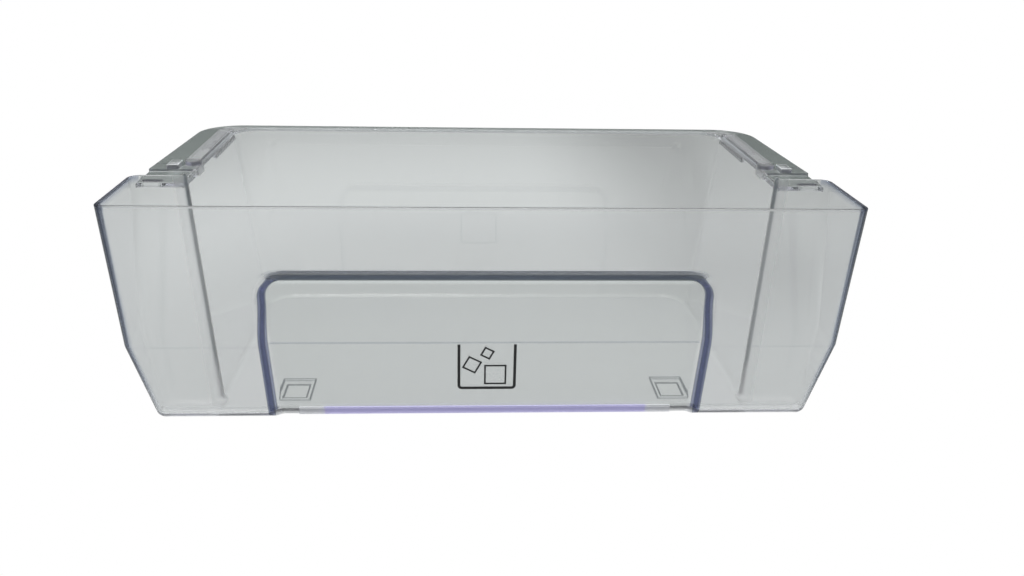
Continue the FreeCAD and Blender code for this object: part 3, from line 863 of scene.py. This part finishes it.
# Painted shade and painted light on the plastic, and one real mark: a colour and the
# rows of its place. The painted shade stands for light that runs along the walls and
# leaves their bends and corners dark and blue, and for shade in the slots, under the
# ribs and round the pockets. The lip's violet is painted light; mouldSquare is the
# mould's own faint square.
paintedShadeAndMarks = {
    # painted shade at the edge of the arch band and on the panel inside the recess, and a painted
    # soft shadow over the arch
    "archEdgeShade": ((0.62, 0.66, 0.55), ["onArchBand", ("inBand", 0.9, 0.0)]),
    "archPanelShade": ((0.915, 0.925, 0.915), ["atFront", ("run", 5.0, 6.5)]),
    "shadowOverArch": ((0.84, 0.85, 0.87), ["overArch", ("run", -2.8, -0.2, 0.7)]),
    # painted shade in the front corners, on the wing rims and under them
    "corner": ((0.20, 0.23, 0.29), ["atCorner", ("fromWing", 4.8, 3.8)]),
    "cornerShadeLine": ((0.30, 0.33, 0.42), ["atCorner", ("fromWing", 2.4, 3.9, 0.5)]),
    "cornerShadeFade": ((0.62, 0.65, 0.74), ["atCorner", ("fromWing", 7.0, 4.0)]),
    "rim": ((0.62, 0.66, 0.74), ["onRim"]),
    "shadeUnderRim": ((0.62, 0.65, 0.74), ["atReturn", ("fromWing", 6.5, 6.0),
                                      ("z", 134.5, 139.5)]),
    # painted shade on the flange and a painted dark line beside the bead
    "flange": ((0.5, 0.54, 0.52), ["onFlat", "pastWall"]),
    "shadeBesideBead": ((0.6, 0.65, 0.63), [
        ("across", beadOuter - 0.2, beadOuter + 2.2, 0.6), ("z", 136.7, 136.9),
        ("y", bead["front"], bead["rear"], 1.0)]),
    # painted shade along the crease and on the rear wall of each slot, and painted shadows of the
    # ribs
    "crease": ((0.72, 0.74, 0.78), ["atFront", "creaseShare", ("fromCrease", 0.65, 0.2)]),
    "slotRearShade": ((0.14, 0.13, 0.2), [
        ("fromSlot", 0.2, 0.0), ("z", ledge["low"] + 0.2, ledge["top"] - 0.1, 0.1),
        ("y", ledge["slotY"] + 1.5, ledge["slotY"] + 3.3, 0.2)]),
    "ribs": ((0.04, 0.05, 0.055), [
        ("ribShare", 0.0, 0.42, 0.04), ("z", 131.6, 134.6, 0.4),
        ("y", ribs["rear"] - ribs["count"] * ribs["pitch"], ribs["rear"] + 0.2, 0.2),
        ("across", bead["inner"] + 2.4, bead["inner"] + 2.0)]),
    # painted shade round the top and bottom outlines of the floor pockets
    "pocketTopShade": (pocketShade, [("fromPocketTop", *pocketLine), ("z", 3.6, 3.2)]),
    "pocketBottomShade": (pocketShade, [("fromPocketBottom", *pocketLine), ("z", 3.6, 3.2)]),
    # painted light: violet where light guided in the walls leaves the lip
    "lip": ((0.62, 0.56, 0.9), ["lipMiddle"]),
    # painted shade in the inner corner of the tub; below it, the mould's own faint square
    "tubCornerShade": ((0.34, 0.38, 0.4), [
        ("fromTub", -3.0, -1.2, 0.5), ("fromShoulder", 3.6, 2.2), ("z", 14.0, 30.0)]),
    "mouldSquare": ((0.93, 0.935, 0.94), [("fromSquare", 0.8, 0.3), ("y", 80.0, 84.0)]),
}
# painted light: glows that stand for light running inside the walls and leaving them softly,
# and a painted highlight round the top of each stop block
paintedGlows = {
    # painted glows on the lip and under the arch
    "lipEndsGlow": ((0.17, 0.175, 0.19), ["onLip"]),
    "lipMiddle": ((0.16, 0.15, 0.29), ["lipMiddle"]),
    "glowUnderArch": ((0.05, 0.055, 0.055), ["overArch", ("run", 6.4, 8.6, 0.4)]),
    # painted highlight round the top of each stop block
    "stopEdgeHighlight": ((0.3, 0.32, 0.32), [("fromStop", -0.9, -0.2, 0.2), ("z", 139.0, 139.4)]),
    # painted glow along the bottom edge beside the lip
    "bottomEdgeGlow": ((0.17, 0.175, 0.175), ["besideLip", ("z", 3.0, 1.0)]),
}


def archRun(n, at):
    # Distance inwards from the edge of the grip arch, as that of a box with rounded
    # corners, a share that is one over its flat top and nought along its sides, and how
    # far inside the painted dark band a point is
    a = archShadeBand
    half = n.line(n.less(at["z"], walls["crease"]), a["widening"], grip["half"])
    u = n.less(at["across"], n.less(half, grip["corner"]))
    v = n.less(at["z"], grip["top"] + a["topShift"] - grip["corner"])
    uOut, vOut = n.most(u, 0.0), n.most(v, 0.0)
    within = n.math("MINIMUM", n.most(u, v), 0.0)
    run = n.times(n.less(n.math("ADD", n.hypot(uOut, vOut), within), grip["corner"]), -1.0)
    topShare = n.rise(n.less(v, uOut), 0.0, a["cornerReach"])
    start, end = (n.line(topShare, top - high, n.rise(at["z"], *a["shift"], low, high))
                  for low, high, top in zip(a["low"], a["high"], a["top"]))
    return run, topShare, n.math("MINIMUM", n.less(run, start), n.less(end, run))


def measures(n):
    # what the rows measure: places, and distances from the walls and from small forms
    w, s, p = walls, stopBlock, pockets
    x, y, z = n.places()
    at = {"x": x, "y": y, "z": z, "across": n.size(x)}
    at["run"], at["topShare"], at["inBand"] = archRun(n, at)
    at["creaseShare"] = n.rise(at["run"], *archShadeBand["creaseShare"])
    above = n.line(n.most(n.less(z, w["crease"]), 0.0),
                   w["wingTaperHigh"] / (w["height"] - w["crease"]),
                   w["halfWidth"] - w["wingTaperHigh"])
    below = n.times(n.most(n.less(w["crease"], z), 0.0), w["wingTaperLow"] / w["crease"])
    at["fromWing"] = n.less(n.less(above, below), at["across"])
    tub = n.line(z, w["tubTaper"] / w["height"], w["halfWidth"] - w["shoulderStep"] - w["tubTaper"])
    at["fromTub"] = n.less(at["across"], tub)
    at["nearTub"] = n.size(at["fromTub"])
    shoulder = n.line(z, w["shoulderLean"] / w["height"],
                      w["shoulderDepth"] - w["halfDepth"] - w["shoulderLean"])
    at["fromShoulder"] = n.size(n.less(y, shoulder))
    at["fromCrease"] = n.size(n.less(z, w["crease"]))
    at["fromSlot"] = n.less(n.size(n.less(at["across"], ledge["slotX"])), ledge["slotLength"] / 2)
    at["ribShare"] = n.math("FRACT", n.times(n.less(ribs["rear"], y), 1 / ribs["pitch"]))
    mx, my = (s["inner"] + s["outer"]) / 2, (s["front"] + s["rear"]) / 2
    at["fromStop"] = n.fromBox(at["across"], y, (mx, my), (s["outer"] - mx, s["rear"] - my))
    for name, half in (("fromPocketTop", (p["width"] / 2, p["length"] / 2)),
                       ("fromPocketBottom", (p["bottomWidth"] / 2, p["bottomLength"] / 2))):
        at[name] = n.size(n.fromBox(at["across"], y, (p["x"], p["y"]), half))
    at["fromSquare"] = n.size(n.fromBox(x, z, mouldSquare["place"], mouldSquare["half"]))
    return at


def clearPlastic():
    v = plastic
    made, tree, output = newMaterial("clearPlastic")
    shader = tree.nodes.new("ShaderNodeBsdfPrincipled")
    n = nodeMaths(tree)
    at = measures(n)
    for name, choices in plasticMasks.items():
        at[name] = n.most(*(n.zone(at, rows) for rows in choices))
    at["besideLip"] = n.most(n.less(at["atFront"], at["onLip"]), 0.0)
    # painted shade: the dark band along the grip arch, bluer on its sides than on its top
    bandShade = n.mix(at["topShare"], archShadeBand["sideShade"], archShadeBand["topShade"])
    colour, glow = n.mix(at["onArchBand"], white, bandShade, "MULTIPLY"), nothing
    # painted shade and painted light from the table above, and the mould's faint square
    for tint, rows in paintedShadeAndMarks.values():
        colour = n.mix(n.zone(at, rows), colour, tint, "MULTIPLY")
    # painted glows and the painted highlight on the stop blocks
    for tint, rows in paintedGlows.values():
        glow = n.mix(n.zone(at, rows), glow, tint)
    n.put(shader.inputs["Base Color"], colour)
    n.put(shader.inputs["Emission Color"], glow)
    n.put(shader.inputs["Emission Strength"], 1.0)
    n.put(shader.inputs["Roughness"],
          n.line(at["matt"], v["mattRoughness"] - v["roughness"], v["roughness"]))

    bump = tree.nodes.new("ShaderNodeBump")  # faint ripples of the moulded faces
    n.put(bump.inputs["Distance"], v["rippleHeight"])
    n.put(bump.inputs["Height"], n.noise(v["rippleScale"], v["rippleDetail"]))
    n.put(shader.inputs["Normal"], bump.outputs["Normal"])
    n.put(shader.inputs["IOR"], v["ior"])
    n.put(shader.inputs["Transmission Weight"], v["transmission"])
    volume = tree.nodes.new("ShaderNodeVolumeAbsorption")
    n.put(volume.inputs["Color"], v["absorption"])
    n.put(volume.inputs["Density"], v["density"])
    tree.links.new(shader.outputs["BSDF"], output.inputs["Surface"])
    tree.links.new(volume.outputs["Volume"], output.inputs["Volume"])
    return made


ink = {
    "colour": (0.012, 0.012, 0.013), "grain": 900.0, "detail": 2.0, "noise": (0.2, 0.8),
    "roughness": (0.38, 0.62),
}


def printInk():
    # matt ink with a fine grain in its gloss
    made, tree, output = newMaterial("printInk")
    shader = tree.nodes.new("ShaderNodeBsdfPrincipled")
    n = nodeMaths(tree)
    grain = n.noise(ink["grain"], ink["detail"])
    n.put(shader.inputs["Roughness"], n.rise(grain, *ink["noise"], *ink["roughness"]))
    n.put(shader.inputs["Base Color"], ink["colour"])
    tree.links.new(shader.outputs["BSDF"], output.inputs["Surface"])
    return made


def giveMaterial(made, material):
    made.data.materials.clear()
    made.data.materials.append(material)


print("making the materials")
clear = clearPlastic()
black = printInk()
giveMaterial(moulding, clear)
for name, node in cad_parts.items():
    giveMaterial(node, clear if name in clearNodes else black)


# Floor, light and camera. A fade has its start, its end and the share of light at each,
# which for rightFade is the share that it takes away.
stageValues = {
    "floorSize": 30.0, "floorDrop": 0.0003, "zone": (1100.0, 1500.0),
    "behind": (0.67, 0.70, 0.69), "around": (0.28, 0.30, 0.32),
    "farFade": (400.0, 1000.0, 1.0, 0.74), "nearFade": (150.0, 420.0, 0.84, 1.0),
    "rightFade": (60.0, 260.0, 0.0, 0.36), "rightNear": (-50.0, 200.0, 0.12, 1.0),
    "rightRise": (270.0, 360.0, 1.0, 1.15), "leftFade": (-420.0, -240.0, 0.86, 1.0),
    "above": (1.15, 1.15, 1.15), "low": (0.50, 0.525, 0.53), "upward": (0.3, 0.85),
    "mirrored": (0.12, 0.13, 0.13),
}
softBox = {"place": (-0.4, -0.9, 2.6), "aim": (0.0, 0.0, 0.07), "size": 1.1, "watts": 12.0}
cameraValues = {
    "focalPixels": 990.5, "imageWidth": 1024.0, "sensor": 36.0, "clip": (0.01, 50.0),
    "pitch": 20.629, "yaw": 3.475, "roll": 1.236, "place": (-19.5, -671.9, 298.1),
}


def buildFloor():
    # The floor shines softly by itself: white to the camera, and grey where it is seen
    # through the plastic. That grey is darkest far away and behind the right side, with
    # a darker surround for what the bends throw aside.
    v = stageValues
    half = v["floorSize"] / 2 / toMetres
    drop = v["floorDrop"] / toMetres
    corners = [(a * half, b * half, -drop) for a, b in squareCorners]
    floor = makeObject("studioFloor", makeMesh("studioFloor", corners, [[0, 1, 2, 3]]))
    made, tree, output = newMaterial("studioFloor")
    n = nodeMaths(tree)
    x, y, z = n.places()
    reach = n.hypot(x, y)
    right = n.times(n.rise(x, *v["rightFade"]), n.rise(y, *v["rightNear"]))
    light = n.times(n.rise(reach, *v["farFade"]), n.rise(reach, *v["nearFade"]),
                    n.less(1.0, right), n.rise(x, *v["rightRise"]), n.rise(x, *v["leftFade"]))
    shade = n.mix(n.fall(reach, *v["zone"]), v["around"], n.mix(light, nothing, v["behind"]))
    path = tree.nodes.new("ShaderNodeLightPath")
    seen = n.mix(path.outputs["Is Camera Ray"], shade, white)
    glow = tree.nodes.new("ShaderNodeEmission")
    tree.links.new(seen, glow.inputs["Color"])
    tree.links.new(glow.outputs[0], output.inputs["Surface"])
    giveMaterial(floor, made)


def buildWorld():
    # soft light by height, alike from every side: bright above and grey below, with a
    # darker mirror image near the horizon
    v = stageValues
    world = bpy.data.worlds.new("studioLight")
    scene.world = world
    world.use_nodes = True
    tree = world.node_tree
    tree.nodes.clear()
    n = nodeMaths(tree)
    coordinates = tree.nodes.new("ShaderNodeTexCoord")
    split = tree.nodes.new("ShaderNodeSeparateXYZ")
    tree.links.new(coordinates.outputs["Generated"], split.inputs[0])
    upward = n.rise(split.outputs[2], *v["upward"])
    path = tree.nodes.new("ShaderNodeLightPath")
    mirrored = n.times(path.outputs["Is Reflection Ray"], n.less(1.0, upward))
    shade = n.mix(mirrored, n.mix(upward, v["low"], v["above"]), v["mirrored"])
    seen = n.mix(path.outputs["Is Camera Ray"], shade, white)
    output = tree.nodes.new("ShaderNodeOutputWorld")
    light = tree.nodes.new("ShaderNodeBackground")
    tree.links.new(seen, light.inputs["Color"])
    tree.links.new(light.outputs["Background"], output.inputs["Surface"])


def buildSoftBox():
    v = softBox
    data = bpy.data.lights.new("softBox", "AREA")
    data.shape, data.size, data.energy = "SQUARE", v["size"], v["watts"]
    light = makeObject("softBox", data)
    light.location = v["place"]
    towards = Vector(v["aim"]) - light.location
    light.rotation_euler = towards.to_track_quat("-Z", "Y").to_euler()


def buildCamera():
    # the view axes come from the pitch, yaw and roll that were fitted to the photo
    v = cameraValues
    pitch, yaw, roll = (math.radians(v[k]) for k in ("pitch", "yaw", "roll"))
    ahead = np.array([math.sin(yaw) * math.cos(pitch), math.cos(yaw) * math.cos(pitch),
                      -math.sin(pitch)])
    level = np.array([math.cos(yaw), -math.sin(yaw), 0.0])
    upright = np.cross(level, ahead)
    right = level * math.cos(roll) + upright * math.sin(roll)
    up = -level * math.sin(roll) + upright * math.cos(roll)
    data = bpy.data.cameras.new("camera")
    camera = makeObject("camera", data)
    data.sensor_fit = "HORIZONTAL"
    data.sensor_width = v["sensor"]
    data.lens = v["focalPixels"] * v["sensor"] / v["imageWidth"]
    data.clip_start, data.clip_end = v["clip"]
    rows = [[right[i], up[i], -ahead[i], v["place"][i] * toMetres] for i in range(3)]
    camera.matrix_world = Matrix(rows + [[0, 0, 0, 1]])
    scene.camera = camera


print("setting the stage")
buildFloor()
buildWorld()
buildSoftBox()
buildCamera()
scene.view_settings.view_transform = "Standard"
scene.cycles.max_bounces = 64
scene.cycles.transmission_bounces = 64
scene.cycles.glossy_bounces = 8
scene.cycles.diffuse_bounces = 4
scene.cycles.use_denoising = True
